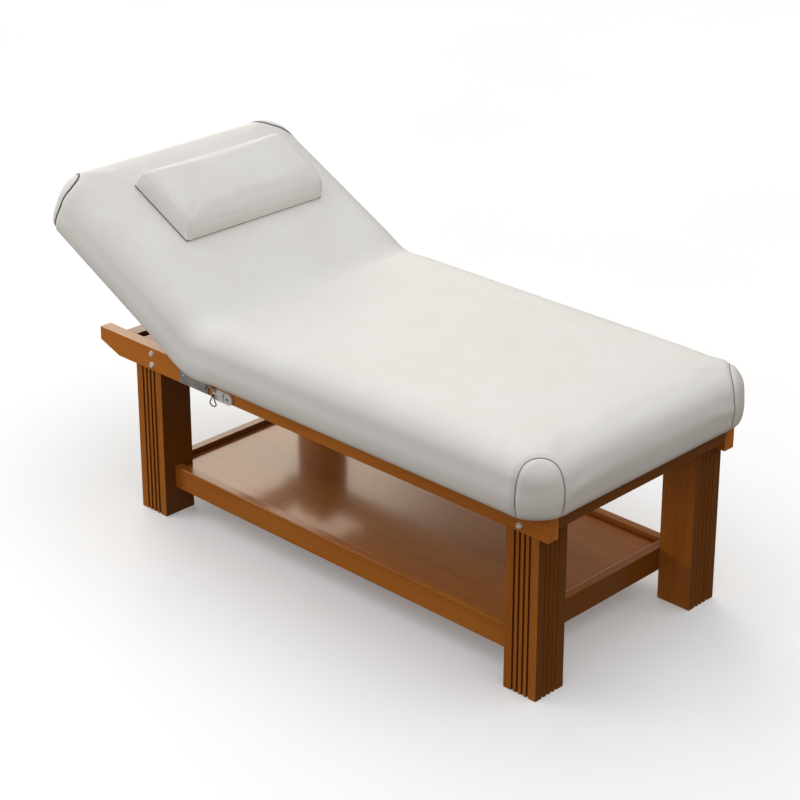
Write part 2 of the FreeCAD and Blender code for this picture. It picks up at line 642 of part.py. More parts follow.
def lock_lever(side):
    """The bright lock lever: a rounded plate on its pivot, with a curved slot for the guide stud."""
    face = side * LEVER_IN_Y
    outer = side * LEVER_OUT_Y
    plate = rounded_plate(LEVER_X - LEVER_HEAD_REACH, LEVER_X + LEVER_FOOT_REACH, LEVER_Z - LEVER_HEIGHT / 2,
                          LEVER_Z + LEVER_HEIGHT / 2, face, outer, LEVER_CORNER)
    cuts = [rod_y(LEVER_PIVOT_RADIUS + RUNNING_GAP, LEVER_X, LEVER_Z, face, outer)]
    width = LEVER_STUD_RADIUS + LEVER_SLOT_GAP
    ring = rod_y(LEVER_SLOT_RADIUS + width, LEVER_X, LEVER_Z, face, outer)
    ring = ring.cut(rod_y(LEVER_SLOT_RADIUS - width, LEVER_X, LEVER_Z, face, outer))
    low = math.radians(180.0 - LEVER_SLOT_HALF_ANGLE)
    high = math.radians(180.0 + LEVER_SLOT_HALF_ANGLE)
    far = 2 * LEVER_SLOT_RADIUS
    wedge = prism([
        V(LEVER_X, face, LEVER_Z),
        V(LEVER_X + far * math.cos(low), face, LEVER_Z + far * math.sin(low)),
        V(LEVER_X + far * math.cos(high), face, LEVER_Z + far * math.sin(high)),
    ], V(0, outer - face, 0))
    cuts.append(ring.common(wedge))
    for angle in (low, high):
        x = LEVER_X + LEVER_SLOT_RADIUS * math.cos(angle)
        z = LEVER_Z + LEVER_SLOT_RADIUS * math.sin(angle)
        cuts.append(rod_y(width, x, z, face, outer))
    hook_x, hook_z = bail_eye()
    cuts.append(rod_y(LEVER_HOOK_RADIUS, hook_x, hook_z, face, outer))
    return plate.cut(cuts)


def bail_eye():
    """The hole in the lever's head end that the wire pull hangs from."""
    return LEVER_X - LEVER_HEAD_REACH + LEVER_HOOK_INSET, LEVER_Z - LEVER_HOOK_DROP


def lever_pins(side):
    """The lever's headed pivot and the plain guide stud in its slot, driven into the rail."""
    inner = side * (RAIL_OUT_Y - SCREW_LENGTH)
    seat = side * (LEVER_OUT_Y + SIDE_GAP)
    head_radius = PIN_HEAD_RATIO * LEVER_PIVOT_RADIUS
    pivot = rod_y(LEVER_PIVOT_RADIUS, LEVER_X, LEVER_Z, inner, seat)
    pivot = pivot.fuse(rod_y(head_radius, LEVER_X, LEVER_Z, seat, seat + side * SCREW_HEAD_HEIGHT)).removeSplitter()
    stud = rod_y(LEVER_STUD_RADIUS, *stud_point(), inner, side * (LEVER_OUT_Y - LEVER_STUD_RECESS))
    return group([pivot, stud])


def stud_point():
    """Where the guide stud stands in the lever's slot."""
    return LEVER_X - LEVER_SLOT_RADIUS, LEVER_Z


def wire_pull(side):
    """The bent wire loop that hangs from the lever: a crossbar through the eye, two sides and a round bottom."""
    inner = side * LEVER_IN_Y
    stand = side * (ARM_OUT_Y + SIDE_GAP + BAIL_WIRE_RADIUS)
    bar = rod_y(BAIL_WIRE_RADIUS, 0, 0, inner + side * SIDE_GAP, stand)
    half = BAIL_WIDTH / 2
    top = V(0, stand, 0)
    bottom = V(0, stand, -BAIL_DROP)
    left = V(-half, stand, BAIL_BOTTOM_RISE - BAIL_DROP)
    right = V(half, stand, BAIL_BOTTOM_RISE - BAIL_DROP)
    path = Part.Wire([
        Part.LineSegment(top, left).toShape(),
        Part.Arc(left, bottom, right).toShape(),
        Part.LineSegment(right, top).toShape(),
    ])
    ring = Part.Wire([Part.makeCircle(BAIL_WIRE_RADIUS, top, left - top)])
    loop = path.makePipeShell([ring], True, False, 2)
    pull = bar.fuse(loop).removeSplitter()
    eye_x, eye_z = bail_eye()
    pull.translate(V(eye_x, 0, eye_z))
    return pull


def build():
    """Makes every piece of the bed."""
    for name, side in SIDES:
        parts["foot_leg_" + name] = leg(side, True)
        parts["head_leg_" + name] = leg(side, False)
        parts["side_rail_" + name] = side_rail(side)
        parts["shelf_stretcher_" + name] = long_stretcher(side)
        parts["hinge_plate_" + name] = hinge_plate(side)
        parts["pivot_pin_" + name] = pivot_pin(side)
        parts["swing_arm_" + name] = tilted(flat_swing_arm(side))
        parts["lock_lever_" + name] = lock_lever(side)
        parts["lock_pawl_" + name] = lock_pawl(side)
        parts["lever_pins_" + name] = lever_pins(side)
        parts["wire_pull_" + name] = wire_pull(side)
        parts["leg_bolts_" + name] = group([leg_bolt(side, x, z) for x, z in bolt_points()])
        parts["leg_nuts_" + name] = group([leg_nut(side, x, z) for x, z in bolt_points()])
        parts["hinge_screws_" + name] = group([hinge_screw(side, x, z) for x, z in plate_screw_points()])
    head_x = HEAD_LEG_END - HEAD_CROSS_GAP
    parts["head_cross_rail"] = block(head_x - CROSS_RAIL_THICK, head_x, -RAIL_IN_Y, RAIL_IN_Y, RAIL_BOTTOM, RAIL_TOP)
    parts["foot_cross_rail"] = block(0, RAIL_FOOT_OVERRUN, -RAIL_IN_Y, RAIL_IN_Y, RAIL_TOP - FOOT_CROSS_HEIGHT,
                                     RAIL_TOP)
    span = -LEG_X - AXIS_X
    for k, place in enumerate(BEARER_PLACES):
        x = AXIS_X + place * span
        parts["seat_bearer_%d" % (k + 1)] = block(x - BEARER_WIDTH / 2, x + BEARER_WIDTH / 2, -RAIL_IN_Y, RAIL_IN_Y,
                                                  RAIL_TOP - BEARER_HEIGHT, RAIL_TOP)
    parts["shelf_stretcher_head"] = head_stretcher()
    parts["shelf_stretcher_foot"] = foot_stretcher()
    parts["shelf_panel"] = shelf_panel()
    parts["shelf_cleats"] = shelf_cleats()
    parts["seat_board"] = seat_board()
    parts["seat_pad"] = seat_pad()
    parts["back_board"] = tilted(flat_back_board().cut(board_screw_holes()))
    parts["back_pad"] = tilted(flat_back_pad())
    parts["back_battens"] = tilted(flat_battens())
    parts["back_arm_screws"] = tilted(flat_arm_screws())
    parts["head_pillow"] = tilted(flat_pillow())


build()
box = Part.makeCompound(list(parts.values())).BoundBox
shift = V(-(box.XMin + box.XMax) / 2, 0, 0)
os.makedirs("parts", exist_ok=True)
for node, shape in parts.items():
    shape.translate(shift)
    shape.exportStep(os.path.join("parts", node + ".step"))
print("pieces", len(parts), "shift", round(shift.x, 4))
print("back axis", round(AXIS_X + shift.x, 4), round(AXIS_Z, 4))
print("lever axis", round(LEVER_X + shift.x, 4), round(LEVER_Z, 4))
print("pull axis", [round(bail_eye()[0] + shift.x, 4), round(bail_eye()[1], 4)])
print("box", [round(c, 2) for c in (box.XMin, box.XMax, box.YMin, box.YMax, box.ZMin, box.ZMax)])
for node, shape in parts.items():
    print(node, len(shape.Solids), shape.isValid(), round(shape.Volume / 1000, 1))
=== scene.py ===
# %% [markdown]
# A salon bed: a stained wooden frame carries one long padded cover that bends at the ratchet hinges.
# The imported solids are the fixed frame. This lesson keeps the rigid solids, gives them their finishes,
# and sews a softer cover and pillow over the plain padding solids.

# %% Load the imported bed
import json
import math

import bmesh
import bpy
import numpy as np
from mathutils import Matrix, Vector
from mathutils.bvhtree import BVHTree


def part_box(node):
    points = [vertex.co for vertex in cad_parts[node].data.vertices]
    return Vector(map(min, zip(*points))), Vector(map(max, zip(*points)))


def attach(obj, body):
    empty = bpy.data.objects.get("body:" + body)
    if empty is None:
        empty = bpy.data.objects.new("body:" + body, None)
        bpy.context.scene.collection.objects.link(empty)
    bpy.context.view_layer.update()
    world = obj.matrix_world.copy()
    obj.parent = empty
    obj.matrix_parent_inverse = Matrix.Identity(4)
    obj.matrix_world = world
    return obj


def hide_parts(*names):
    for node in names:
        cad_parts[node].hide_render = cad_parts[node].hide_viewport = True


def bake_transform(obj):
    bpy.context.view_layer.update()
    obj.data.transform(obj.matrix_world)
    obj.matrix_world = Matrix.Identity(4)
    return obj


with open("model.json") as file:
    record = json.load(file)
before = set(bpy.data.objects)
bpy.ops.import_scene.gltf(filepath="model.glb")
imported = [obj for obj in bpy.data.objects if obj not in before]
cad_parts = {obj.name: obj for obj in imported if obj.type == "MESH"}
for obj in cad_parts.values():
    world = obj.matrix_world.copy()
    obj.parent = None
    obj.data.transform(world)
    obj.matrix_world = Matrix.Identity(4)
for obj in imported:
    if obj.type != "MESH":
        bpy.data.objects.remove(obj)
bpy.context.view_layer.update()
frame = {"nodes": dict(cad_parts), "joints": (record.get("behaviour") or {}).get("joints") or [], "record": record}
nodes = frame["nodes"]
joints = {j["name"]: j for j in frame["joints"]}

# %% [markdown]
# The back was photographed part way up. Everything soft is shaped with the back lying flat, where an
# upholsterer would cut it, and is then turned about the hinge line by the tilt of the photograph.
# One small function turns points about that line, and another measures a solid as it lies flat. The
# photographed pillow reaches a little further to the far side than its solid.

# %% Hinge line and tilt
REST_TILT = math.radians(27.0)
PILLOW_REACH = 0.012
hinge = np.array(joints["back_tilt"]["pos_m"])


def turned(points, angle):
    """Points about the hinge line, raised at the head end by an angle or an array of angles."""
    p = np.asarray(points, float) - hinge
    c, s = np.cos(angle), np.sin(angle)
    x = p[:, 0] * c + p[:, 2] * s
    z = p[:, 2] * c - p[:, 0] * s
    return np.stack([x, p[:, 1], z], -1) + hinge


def corners_of(name, angle=0.0):
    """Lowest and highest corner of a solid after turning it about the hinge line."""
    points = np.array([v.co for v in nodes[name].data.vertices], float)
    points = turned(points, angle)
    return points.min(0), points.max(0)


seat_low, seat_high = corners_of("seat_pad")
back_low, _ = corners_of("back_pad", -REST_TILT)
pillow_low, pillow_high = corners_of("head_pillow", -REST_TILT)
pillow_high[1] += PILLOW_REACH
print("seat", seat_low.round(3), seat_high.round(3), "flat back", back_low.round(3))

# %% [markdown]
# Finishes are node trees. Writing them as sums keeps them readable, so one small class wraps an output
# socket. Plus and times add Math nodes, one method adds any other kind of node, and a few short ones add
# the kinds that come up again and again.

# %% A socket that can be added up
class Flow:
    """An output socket of a node tree."""

    def __init__(self, tree, socket=None):
        self.tree = tree
        self.socket = socket

    def node(self, kind, settings=None, values=None, out=0):
        """Adds a node: its settings first, then the values or links of its sockets."""
        made = self.tree.nodes.new(kind)
        for name, value in (settings or {}).items():
            setattr(made, name, value)
        for name, value in (values or {}).items():
            if isinstance(value, Flow):
                self.tree.links.new(value.socket, made.inputs[name])
            else:
                made.inputs[name].default_value = value
        return Flow(self.tree, made.outputs[out])

    def maths(self, operation, other):
        return self.node("ShaderNodeMath", {"operation": operation}, {0: self, 1: other})

    def __add__(self, other):
        return self.maths("ADD", other)

    __radd__ = __add__

    def __mul__(self, other):
        return self.maths("MULTIPLY", other)

    __rmul__ = __mul__

    def part(self, axis):
        """The X, Y or Z part of a vector."""
        return self.node("ShaderNodeSeparateXYZ", {}, {0: self}, out=axis)

    def between(self, low, high):
        """A mask from 0 to 1 as the value goes from low to high."""
        settings = {"interpolation_type": "SMOOTHSTEP"}
        return self.node("ShaderNodeMapRange", settings, {0: self, 1: low, 2: high})

    def scaled(self, factors):
        """A vector times three factors."""
        return self.node("ShaderNodeVectorMath", {"operation": "MULTIPLY"}, {0: self, 1: factors})

    def noise(self, scale, detail=3.0, rough=0.5, bend=0.0):
        """Noise on this vector, as a value."""
        values = {"Vector": self, "Scale": scale, "Detail": detail, "Roughness": rough, "Distortion": bend}
        return self.node("ShaderNodeTexNoise", {"noise_dimensions": "3D"}, values)

    def mixed(self, first, second):
        """Two colours mixed by this mask."""
        return self.node("ShaderNodeMix", {"data_type": "RGBA"}, {0: self, 6: first, 7: second}, out=2)

    def bump(self, strength, distance):
        """A bump normal from this height."""
        return self.node("ShaderNodeBump", {}, {"Strength": strength, "Distance": distance, "Height": self})


# %% [markdown]
# Each finish starts from a shader with its constant sockets set and the coordinates of the piece. What
# changes over the surface is linked in at the end.

# %% Start and end of a finish
OBJECT_PLACE, OBJECT_NORMAL, SKY_WAY = 3, 1, 0


def finish(name, constants):
    """A new material with its constant sockets set, its shader, and the place on the piece."""
    material = bpy.data.materials.new(name)
    material.use_nodes = True
    tree = material.node_tree
    shader = tree.nodes["Principled BSDF"]
    for socket, value in constants.items():
        shader.inputs[socket].default_value = value
    place = Flow(tree).node("ShaderNodeTexCoord", out=OBJECT_PLACE)
    return material, shader, place


def feed(shader, **links):
    """Links what changes over the surface into the shader."""
    for name, flow in links.items():
        flow.tree.links.new(flow.socket, shader.inputs[name.replace("_", " ")])


# %% [markdown]
# The wood is stained an orange brown and lacquered. Real grain runs along each piece, so the noise of a
# finish is drawn out along X, Y or Z. Each piece's stain is scaled by a tone set to how lit that piece
# looks, which paints light and shade into it: the rails lighter, the legs darker. On the legs and cross
# bars the faces that look towards the ends of the bed are darkened further, painted shade. Broad bands
# vary the stain, thin streaks are the grain, fine flecks are the pores, and the lacquer is a clear coat,
# thickest on the shelf.

# %% Stained wood
STAIN_DARK = np.array((0.140, 0.034, 0.004))
STAIN_MID = np.array((0.330, 0.095, 0.009))
STAIN_LIGHT = np.array((0.430, 0.140, 0.017))
BLACK = (0.0, 0.0, 0.0, 1.0)
LACQUER = {"Coat Roughness": 0.12, "IOR": 1.45, "Specular IOR Level": 0.15}
GRAIN_STRETCH = 0.055


def stained_wood(name, axis, tone, coat, painted_end_shade):
    """Stained, lacquered wood: the grain's axis, a tone for how lit the piece looks, painted into the stain, and
    the painted shade on faces towards the ends.
    """
    deep, mid, pale = [(*(stain * tone), 1.0) for stain in (STAIN_DARK, STAIN_MID, STAIN_LIGHT)]
    material, shader, place = finish(name, LACQUER)
    stretch = [1.0, 1.0, 1.0]
    stretch[axis] = GRAIN_STRETCH
    run = place.scaled(tuple(stretch))
    bands = run.noise(scale=9.0, detail=2.0, bend=0.6)
    streaks = run.noise(scale=75.0, detail=5.0, rough=0.62, bend=0.4)
    pores = run.noise(scale=420.0, detail=2.0)
    grain = (bands * 0.55 + streaks * 0.45).between(0.34, 0.68)
    dark = pores.between(0.60, 0.74) * 0.40 + streaks.between(0.56, 0.76) * 0.32
    colour = dark.mixed(grain.mixed(mid, pale), deep)
    # Painted shade: faces that look towards the head or foot end are mixed towards black by the last argument.
    facing = place.node("ShaderNodeTexCoord", out=OBJECT_NORMAL).part(0)
    colour = ((facing * facing).between(0.3, 0.8) * painted_end_shade).mixed(colour, BLACK)
    height = streaks * 0.6 + pores * 0.4
    feed(shader, Base_Color=colour, Roughness=0.30 + streaks * 0.16, Coat_Weight=coat + pores * -0.25,
         Normal=height.bump(strength=0.10, distance=0.0006))
    return material


# The tone of each piece matches how lit it looks, painting light and shade into the stain; the last number is
# painted shade on the faces towards the ends.
rail_wood = stained_wood("stained_rail", axis=0, tone=1.4, coat=0.75, painted_end_shade=0.0)
leg_wood = stained_wood("stained_leg", axis=2, tone=1.06, coat=0.70, painted_end_shade=0.62)
shelf_wood = stained_wood("stained_shelf", axis=0, tone=1.15, coat=1.0, painted_end_shade=0.0)
long_wood = stained_wood("stained_long_bar", axis=0, tone=1.1, coat=0.75, painted_end_shade=0.0)
cross_wood = stained_wood("stained_cross_bar", axis=1, tone=0.9, coat=0.75, painted_end_shade=0.40)
print("wood", [m.name for m in (rail_wood, leg_wood, shelf_wood, long_wood, cross_wood)])

# %% [markdown]
# The boards hidden in the padding are raw plywood, dry and brown, with a flat swirling grain.

# %% Raw plywood
PLY_SHADE = (0.34, 0.22, 0.11, 1.0)
PLY_LIGHT = (0.44, 0.30, 0.16, 1.0)
PLY_FLECK = (0.22, 0.13, 0.06, 1.0)
PLY_STRETCH = (0.08, 1.0, 1.0)


def raw_plywood():
    material, shader, place = finish("raw_plywood", {"IOR": 1.45})
    run = place.scaled(PLY_STRETCH)
    figure = run.noise(scale=16.0, detail=4.0, rough=0.6, bend=1.6)
    flecks = run.noise(scale=260.0, detail=2.0)
    colour = figure.between(0.3, 0.7).mixed(PLY_SHADE, PLY_LIGHT)
    colour = (flecks.between(0.62, 0.75) * 0.5).mixed(colour, PLY_FLECK)
    feed(shader, Base_Color=colour, Roughness=0.62 + flecks * 0.2,
         Normal=flecks.bump(strength=0.15, distance=0.0005))
    return material


plywood = raw_plywood()
print("boards", plywood.name)

# %% [markdown]
# The cover is off-white leatherette: a soft sheen, a fine pebbled grain that only shows close up, and a
# faint cloudy tone. Cells of about a millimetre make the grain, and the bump is small, because the
# photograph shows a nearly smooth skin. The welts are the same material in two darker tones, which paint
# the shadow in the seams: a grey for the fine seams and a near black for the shadowed gaps.

# %% Off-white leatherette
COVER_LIGHT = (0.82, 0.80, 0.77, 1.0)
COVER_SHADE = (0.79, 0.765, 0.73, 1.0)
SEAM_SHADOW_PALE = (0.27, 0.255, 0.235, 1.0)
SEAM_SHADOW_DEEP = (0.20, 0.19, 0.175, 1.0)
GAP_SHADOW_PALE = (0.10, 0.097, 0.09, 1.0)
GAP_SHADOW_DEEP = (0.075, 0.072, 0.066, 1.0)
PEBBLES_PER_METRE = 620.0


def leatherette(name, light, shade):
    material, shader, place = finish(name, {"IOR": 1.46, "Sheen Weight": 0.12, "Sheen Roughness": 0.5})
    clouds = place.noise(scale=5.5, rough=0.55, bend=0.3)
    patches = place.noise(scale=28.0)
    pull = place.noise(scale=60.0, detail=2.0, bend=0.2)
    pebbles = place.node("ShaderNodeTexVoronoi", {"feature": "SMOOTH_F1"},
                         {"Vector": place, "Scale": PEBBLES_PER_METRE, "Smoothness": 0.4})
    tone = (clouds * 0.75 + patches * 0.25).between(0.36, 0.66)
    height = pebbles * 0.7 + pull * 0.3
    feed(shader, Base_Color=tone.mixed(shade, light), Roughness=0.42 + pebbles * 0.14 + clouds * 0.08,
         Normal=height.bump(strength=0.12, distance=0.0006))
    return material


cover_skin = leatherette("off_white_leatherette", COVER_LIGHT, COVER_SHADE)
# Painted shade: these two welt skins are darkened to stand for the shadow in the seam grooves and gaps.
seam_shadow_welt = leatherette("seam_shadow_welt", SEAM_SHADOW_PALE, SEAM_SHADOW_DEEP)
gap_shadow_welt = leatherette("gap_shadow_welt", GAP_SHADOW_PALE, GAP_SHADOW_DEEP)
print("skins", [m.name for m in (cover_skin, seam_shadow_welt, gap_shadow_welt)])

# %% [markdown]
# The fittings are three metals. The hinge plates and arms are zinc plated steel with a drawn grain,
# the bolt heads and lock levers are bright chrome with faint smudges, and the pull is black coated wire.
# The chrome is only partly metallic, because the studio has a dark floor for it to mirror.

# %% Metals
ZINC_SHADE = (0.44, 0.45, 0.46, 1.0)
ZINC_LIGHT = (0.66, 0.67, 0.68, 1.0)
CHROME_SHADE = (0.90, 0.905, 0.91, 1.0)
CHROME_LIGHT = (0.97, 0.975, 0.98, 1.0)
WIRE_COAT = (0.008, 0.008, 0.008, 1.0)
WIRE_WORN = (0.030, 0.029, 0.028, 1.0)
DRAWN_STRETCH = (1.0, 14.0, 14.0)


def zinc_steel():
    material, shader, place = finish("zinc_steel", {"Metallic": 1.0})
    drawn = place.scaled(DRAWN_STRETCH).noise(scale=120.0, rough=0.6)
    spots = place.noise(scale=45.0)
    colour = (drawn * 0.5 + spots * 0.5).between(0.3, 0.7).mixed(ZINC_SHADE, ZINC_LIGHT)
    feed(shader, Base_Color=colour, Roughness=0.28 + drawn * 0.2,
         Normal=drawn.bump(strength=0.08, distance=0.0003))
    return material


def bright_chrome():
    material, shader, place = finish("bright_chrome", {"Metallic": 0.35})
    smudge = place.noise(scale=70.0)
    colour = smudge.between(0.3, 0.7).mixed(CHROME_SHADE, CHROME_LIGHT)
    feed(shader, Base_Color=colour, Roughness=0.26 + smudge * 0.14)
    return material


def black_wire():
    material, shader, place = finish("black_wire", {"IOR": 1.5, "Specular IOR Level": 0.2})
    specks = place.noise(scale=900.0, detail=2.0)
    worn = place.noise(scale=140.0).between(0.58, 0.72)
    colour = (worn * 0.5).mixed(WIRE_COAT, WIRE_WORN)
    feed(shader, Base_Color=colour, Roughness=0.34 + specks * 0.2,
         Normal=specks.bump(strength=0.1, distance=0.0002))
    return material


zinc, chrome, wire_coat = zinc_steel(), bright_chrome(), black_wire()
print("metals", [m.name for m in (zinc, chrome, wire_coat)])

# %% [markdown]
# Each solid takes the finish of its material slot. The wooden ones take it by their kind, and the other
# bars by the way that they run. A narrow bevel breaks the sharp edges, as sanding does before the lacquer.

# %% Dress the rigid solids
EDGE_BREAK = 0.0018
EDGE_ANGLE = math.radians(40.0)
WELD_GAP = 0.00002
SLOT_SKINS = {"plywood": plywood, "leatherette": cover_skin, "zinc_steel": zinc, "bright_chrome": chrome,
              "black_wire": wire_coat}
KINDS = {"shelf_panel": shelf_wood, "foot_leg": leg_wood, "head_leg": leg_wood, "side_rail": rail_wood}


def sanded(node):
    """Joins the corners of a wooden solid and breaks its edges."""
    weld = node.modifiers.new("weld", "WELD")
    weld.merge_threshold = WELD_GAP
    edge = node.modifiers.new("edge_break", "BEVEL")
    edge.width = EDGE_BREAK
    edge.segments = 2
    edge.limit_method = "ANGLE"
    edge.angle_limit = EDGE_ANGLE


slots = {s["node"]: s["material_slot"] for s in frame["record"]["subparts"]}
for name, node in nodes.items():
    if slots[name] == "stained_wood":
        low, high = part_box(name)
        bar = long_wood if high[0] - low[0] > high[1] - low[1] else cross_wood
        skin = next((kind for start, kind in KINDS.items() if name.startswith(start)), bar)
        sanded(node)
    else:
        skin = SLOT_SKINS[slots[name]]
    node.data.materials.clear()
    node.data.materials.append(skin)
print("dressed", len(nodes))

# %% [markdown]
# Soft pieces are meshes of their own. A block is stacked from rounded outlines, one for each height, and
# its points are read and set as one array.

# %% Stack a block from outlines
def rounded_outline(x0, x1, y0, y1, radius, steps=10):
    """Points round a rectangle with rounded corners."""
    points = []
    for cx, cy, first in ((x1 - radius, y1 - radius, 0), (x0 + radius, y1 - radius, 90),
                          (x0 + radius, y0 + radius, 180), (x1 - radius, y0 + radius, 270)):
        for k in range(steps + 1):
            a = math.radians(first + 90.0 * k / steps)
            points.append((cx + radius * math.cos(a), cy + radius * math.sin(a)))
    return points


def solid(name, mesh):
    """An object in the scene from a bmesh."""
    data = bpy.data.meshes.new(name)
    mesh.to_mesh(data)
    mesh.free()
    made = bpy.data.objects.new(name, data)
    bpy.context.scene.collection.objects.link(made)
    return made


def stacked(name, layers):
    """A closed mesh from outlines of equal length, each with its height, lowest first."""
    mesh = bmesh.new()
    rings = [[mesh.verts.new((x, y, z)) for x, y in points] for points, z in layers]
    for lower, upper in zip(rings, rings[1:]):
        for k in range(len(lower)):
            n = (k + 1) % len(lower)
            mesh.faces.new((lower[k], lower[n], upper[n], upper[k]))
    mesh.faces.new(list(reversed(rings[0])))
    mesh.faces.new(rings[-1])
    return solid(name, mesh)


def points_of(piece):
    flat = np.zeros(len(piece.data.vertices) * 3)
    piece.data.vertices.foreach_get("co", flat)
    return flat.reshape(-1, 3)


def place_points(piece, points):
    piece.data.vertices.foreach_set("co", np.asarray(points, float).ravel())
    piece.data.update()


# %% [markdown]
# The padding is one long block when it lies flat: tucked in at the underside, full at the belly, rolled
# over at the top and a little crowned. The roll is tighter at the head end. The block starts a little too
# small, by a margin that fades out towards the underside, and the swelling fills it out.

# %% Outlines of the flat padding
PAD_CORNER = 0.096
LEAST_CORNER = 0.04
PAD_ROLL = 0.060
HEAD_ROLL = 0.6
PAD_TUCK = 0.018
PAD_CROWN = 0.004
CROWN_STEPS = ((0.35, 0.09), (0.75, 0.14), (1.0, 0.20))
BELLY = 0.45
SIDE_FADE = 0.03
TOP_FADE = 0.1
foot_x, head_x = seat_high[0], back_low[0]
half_pad = seat_high[1]
pad_floor = seat_low[2]
pad_flat = seat_high[2] - pad_floor - PAD_CROWN


def pad_levels():
    """Height above the underside and inset from the edge, from the tuck to the crown."""
    levels = []
    for angle in range(0, 91, 15):
        a = math.radians(angle)
        levels.append((BELLY * pad_flat * (1 - math.cos(a)), PAD_TUCK * (1 - math.sin(a))))
    for angle in range(0, 81, 10):
        a = math.radians(angle)
        levels.append((pad_flat - PAD_ROLL + PAD_ROLL * math.sin(a), PAD_ROLL * (1 - math.cos(a))))
    return levels + [(pad_flat + share * PAD_CROWN, inset) for share, inset in CROWN_STEPS]


def pad_layers(margin):
    """Outlines of the flat padding, made smaller all round by a margin for the swelling."""
    layers = []
    for z, inset in pad_levels():
        side = inset + margin * min(1.0, z / SIDE_FADE)
        radius = max(PAD_CORNER - inset, LEAST_CORNER)
        head, foot = head_x + HEAD_ROLL * side, foot_x - side
        outline = rounded_outline(head, foot, side - half_pad, half_pad - side, radius)
        layers.append((outline, pad_floor + z - margin * min(1.0, z / TOP_FADE)))
    return layers


print("padding", round(foot_x - head_x, 3), "long", round(2 * half_pad, 3), "wide")

# %% [markdown]
# Cloth pressure rounds the block as foam rounds a tight cover. The block is remeshed to even cells, held
# where it is stapled to the boards, and blown up for twenty frames. How far a point may move is capped,
# and the result is smoothed and brought back to the size of the solid that it stands for.

# %% Blow up a cover
FRAMES = 20
CLOTH = {"quality": 4, "mass": 0.4, "tension_stiffness": 30.0, "compression_stiffness": 30.0,
         "shear_stiffness": 12.0, "bending_stiffness": 2.0}


def remeshed(piece, voxel):
    piece.data.remesh_voxel_size = voxel
    bpy.context.view_layer.objects.active = piece
    piece.select_set(True)
    bpy.ops.object.voxel_remesh()
    return piece


def held_below(piece, height, fade):
    """A mask of the points to hold: whole below a height, and fading out above it."""
    return 1.0 - np.clip((points_of(piece)[:, 2] - height) / fade, 0.0, 1.0)


def swollen(piece, held, pressure):
    """Where cloth pressure takes the points of a piece."""
    pins = piece.vertex_groups.new(name="held")
    for k in np.nonzero(held > 0.0)[0]:
        pins.add([int(k)], float(held[k]), "REPLACE")
    cloth = piece.modifiers.new("swell", "CLOTH")
    for name, value in CLOTH.items():
        setattr(cloth.settings, name, value)
    cloth.settings.vertex_group_mass = "held"
    cloth.settings.use_pressure = True
    cloth.settings.uniform_pressure_force = pressure
    cloth.settings.effector_weights.gravity = 0.0
    cloth.collision_settings.use_collision = False
    cloth.point_cache.frame_start = 1
    cloth.point_cache.frame_end = FRAMES
    scene = bpy.context.scene
    for number in range(1, FRAMES + 1):
        scene.frame_set(number)
    result = piece.evaluated_get(bpy.context.evaluated_depsgraph_get())
    points = points_of(result)
    piece.modifiers.remove(cloth)
    scene.frame_set(1)
    return points


def blown_up(piece, held, pressure, cap):
    """Inflates a piece with the points of the mask held, and limits each point's move."""
    start = points_of(piece)
    move = swollen(piece, held, pressure) - start
    far = np.linalg.norm(move, axis=1)
    print(piece.name, "swell mm", (far.max() * 1000).round(1), "mean", (far.mean() * 1000).round(1))
    limit = cap * np.tanh(far / cap) / np.maximum(far, 1e-9)
    place_points(piece, start + move * limit[:, None])
    return piece


# %% [markdown]
# After the swelling come a few smoothing passes, one level of subdivision, and the fit into the box of
# the solid.

# %% Smooth and fit
def subdivided(piece, passes):
    """A few smoothing passes and one level of subdivision, made part of the mesh."""
    even = piece.modifiers.new("even", "SMOOTH")
    even.factor = 0.5
    even.iterations = passes
    finer = piece.modifiers.new("finer", "SUBSURF")
    finer.levels = 1
    result = piece.evaluated_get(bpy.context.evaluated_depsgraph_get())
    piece.data = bpy.data.meshes.new_from_object(result)
    piece.modifiers.clear()
    return piece


def fitted(piece, low, high):
    """Scales a piece into a box, so that swelling doesn't change its size."""
    p = points_of(piece)
    a, b = p.min(0), p.max(0)
    place_points(piece, low + (p - a) / (b - a) * (high - low))
    return piece


def smooth_faces(piece):
    piece.data.polygons.foreach_set("use_smooth", [True] * len(piece.data.polygons))


# %% [markdown]
# The cover of the bed: block, remesh, swell, fit. On the underside the cover only laps round the edge of
# the boards, so the middle is raised into the boards, which then show from below.

# %% Flat cover
COVER_VOXEL = 0.009
COVER_MARGIN = 0.003
COVER_HELD = 0.012
COVER_FADE = 0.06
COVER_PRESSURE = 2.0
COVER_CAP = 0.005
COVER_PASSES = 8
BOARD_EDGE = 0.024
BOARD_SINK = 0.008
UNDERSIDE = 0.004
cover = remeshed(stacked("padded_cover", pad_layers(COVER_MARGIN)), COVER_VOXEL)
held = held_below(cover, pad_floor + COVER_HELD, COVER_FADE)
subdivided(blown_up(cover, held, COVER_PRESSURE, COVER_CAP), COVER_PASSES)
fitted(cover, np.array([head_x, -half_pad, pad_floor]), np.array([foot_x, half_pad, seat_high[2]]))
flat = points_of(cover)
inside_x = np.minimum(flat[:, 0] - head_x, foot_x - flat[:, 0])
inside = np.minimum(inside_x, half_pad - np.abs(flat[:, 1])) - PAD_TUCK
under = (flat[:, 2] < pad_floor + UNDERSIDE) & (inside > BOARD_EDGE)
flat[under, 2] = pad_floor + BOARD_SINK
place_points(cover, flat)
print("cover points", len(flat))

# %% [markdown]
# A remesh wipes out seams, so they come after it. A seam is a path laid on the skin. The path goes through
# a few measured places, and a smooth curve joins them.

# %% Paths on a skin
def surface_of(piece):
    faces = [tuple(f.vertices) for f in piece.data.polygons]
    return BVHTree.FromPolygons(points_of(piece).tolist(), faces)


